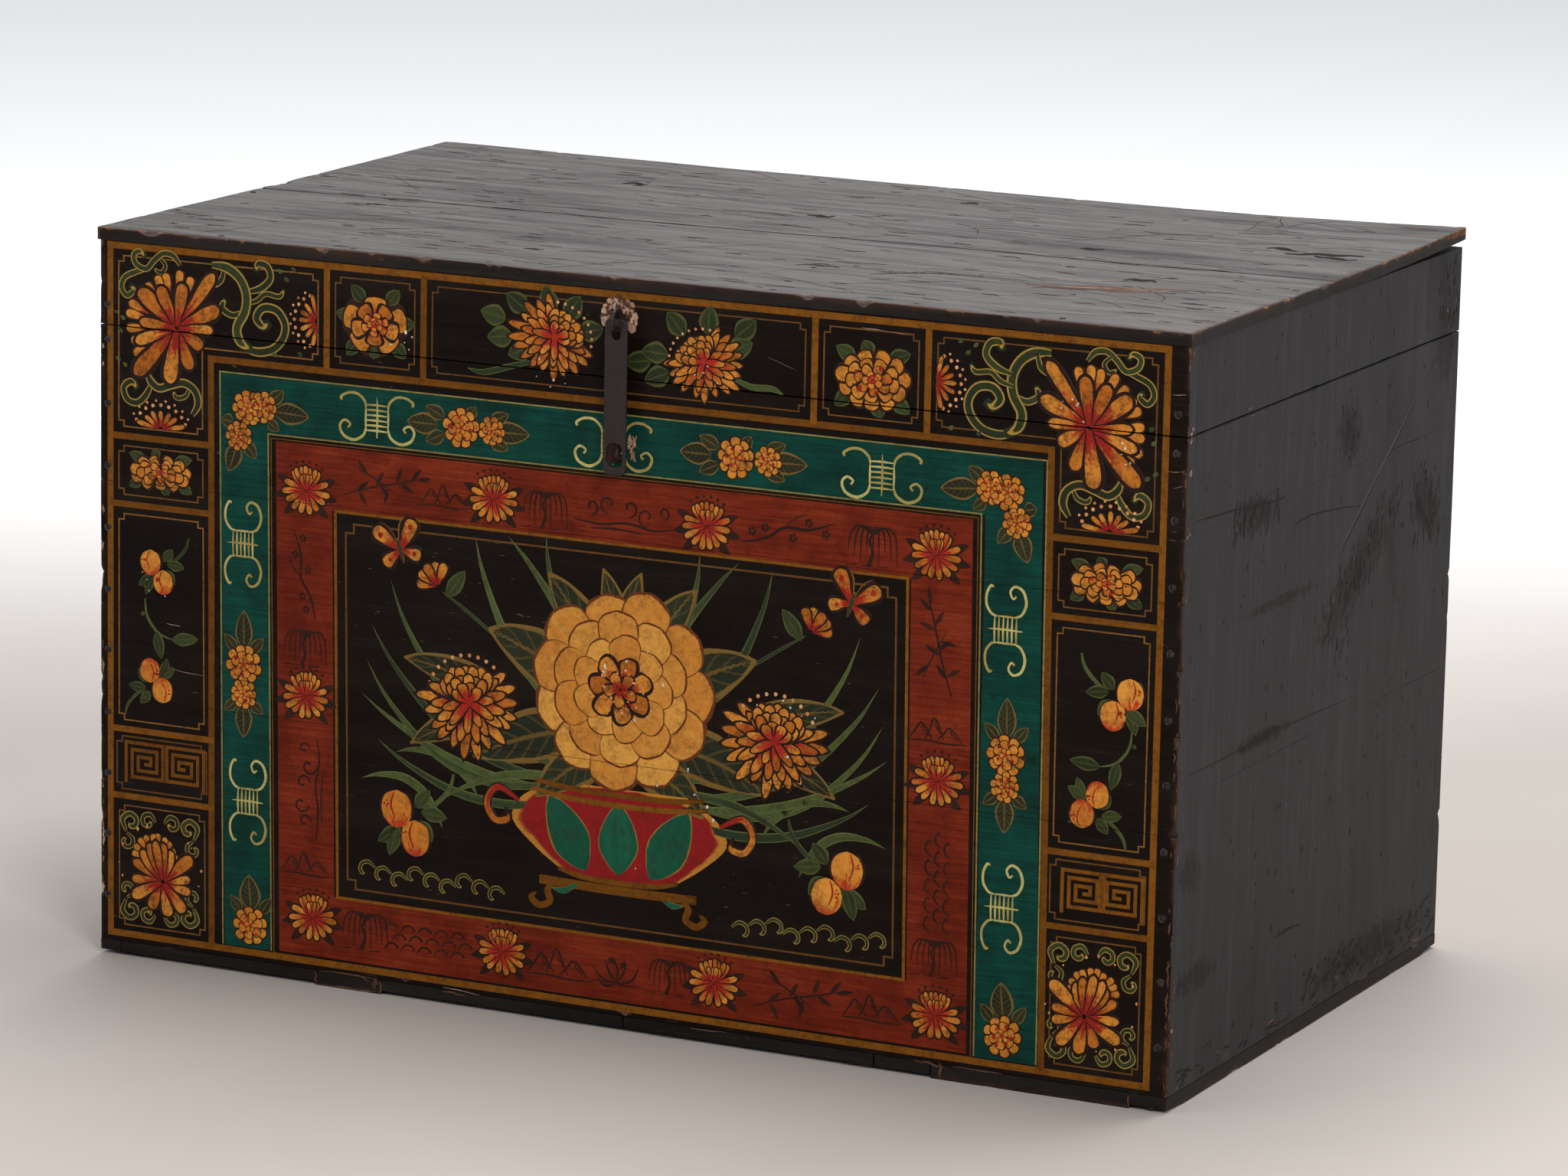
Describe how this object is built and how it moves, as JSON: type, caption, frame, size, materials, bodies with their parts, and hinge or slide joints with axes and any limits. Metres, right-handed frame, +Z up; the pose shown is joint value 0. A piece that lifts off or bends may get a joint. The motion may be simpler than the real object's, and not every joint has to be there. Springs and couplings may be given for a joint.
{
  "type": "painted storage trunk",
  "caption": "Lidded board trunk with a painted front, finger jointed nailed corners, a back hinged lid and an iron hasp for a padlock.",
  "frame": {"origin": "middle of the underside, on the floor plane", "axes": "+X to the right along the width, +Y from the painted front to the back, +Z up"},
  "size_m": [0.903, 0.5752, 0.5715],
  "materials": {
    "painted_front": "painted black lacquer with coloured ornament",
    "worn_lacquer": "worn black lacquer on softwood",
    "black_iron": "blackened wrought iron",
    "nail_iron": "painted over nails",
    "bamboo": "bare bamboo pins"
  },
  "bodies": {
    "base": {"base_back_lower": "worn_lacquer", "base_back_middle": "worn_lacquer", "base_back_upper": "worn_lacquer", "base_corner_nails": "nail_iron", "base_front_lower": "painted_front", "base_front_middle": "painted_front", "base_front_upper": "painted_front", "base_hinge_nails": "nail_iron", "base_left_lower": "worn_lacquer", "base_left_middle": "worn_lacquer", "base_left_upper": "worn_lacquer", "base_right_lower": "worn_lacquer", "base_right_middle": "worn_lacquer", "base_right_upper": "worn_lacquer", "bottom_board_1": "worn_lacquer", "bottom_board_2": "worn_lacquer", "bottom_board_3": "worn_lacquer", "bottom_board_4": "worn_lacquer", "bottom_board_5": "worn_lacquer", "bottom_board_6": "worn_lacquer", "bottom_board_7": "worn_lacquer", "bottom_board_8": "worn_lacquer", "bottom_nails": "nail_iron", "hinge_left_base_leaf": "black_iron", "hinge_left_pin": "black_iron", "hinge_right_base_leaf": "black_iron", "hinge_right_pin": "black_iron", "lock_staple": "black_iron", "wall_dowels": "bamboo"},
    "lid": {"hasp_eye": "black_iron", "hinge_left_lid_leaf": "black_iron", "hinge_right_lid_leaf": "black_iron", "lid_back_rail": "worn_lacquer", "lid_corner_nails": "nail_iron", "lid_front_rail": "painted_front", "lid_hinge_nails": "nail_iron", "lid_left_rail": "worn_lacquer", "lid_right_rail": "worn_lacquer", "lid_top_dowels": "bamboo", "lid_top_front": "worn_lacquer", "lid_top_nails": "nail_iron", "lid_top_rear": "worn_lacquer"},
    "hasp": {"hasp_strap": "black_iron"}
  },
  "joints": [
    {"name": "lid_hinge", "type": "hinge", "parent": "base", "child": "lid", "pos_m": [0, 0.2774, 0.496], "axis": [-1, 0, 0], "range_deg": [0, 110]},
    {"name": "hasp_swing", "type": "hinge", "parent": "lid", "child": "hasp", "pos_m": [0, -0.284, 0.541], "axis": [-1, 0, 0], "range_deg": [-5, 170]}
  ]
}
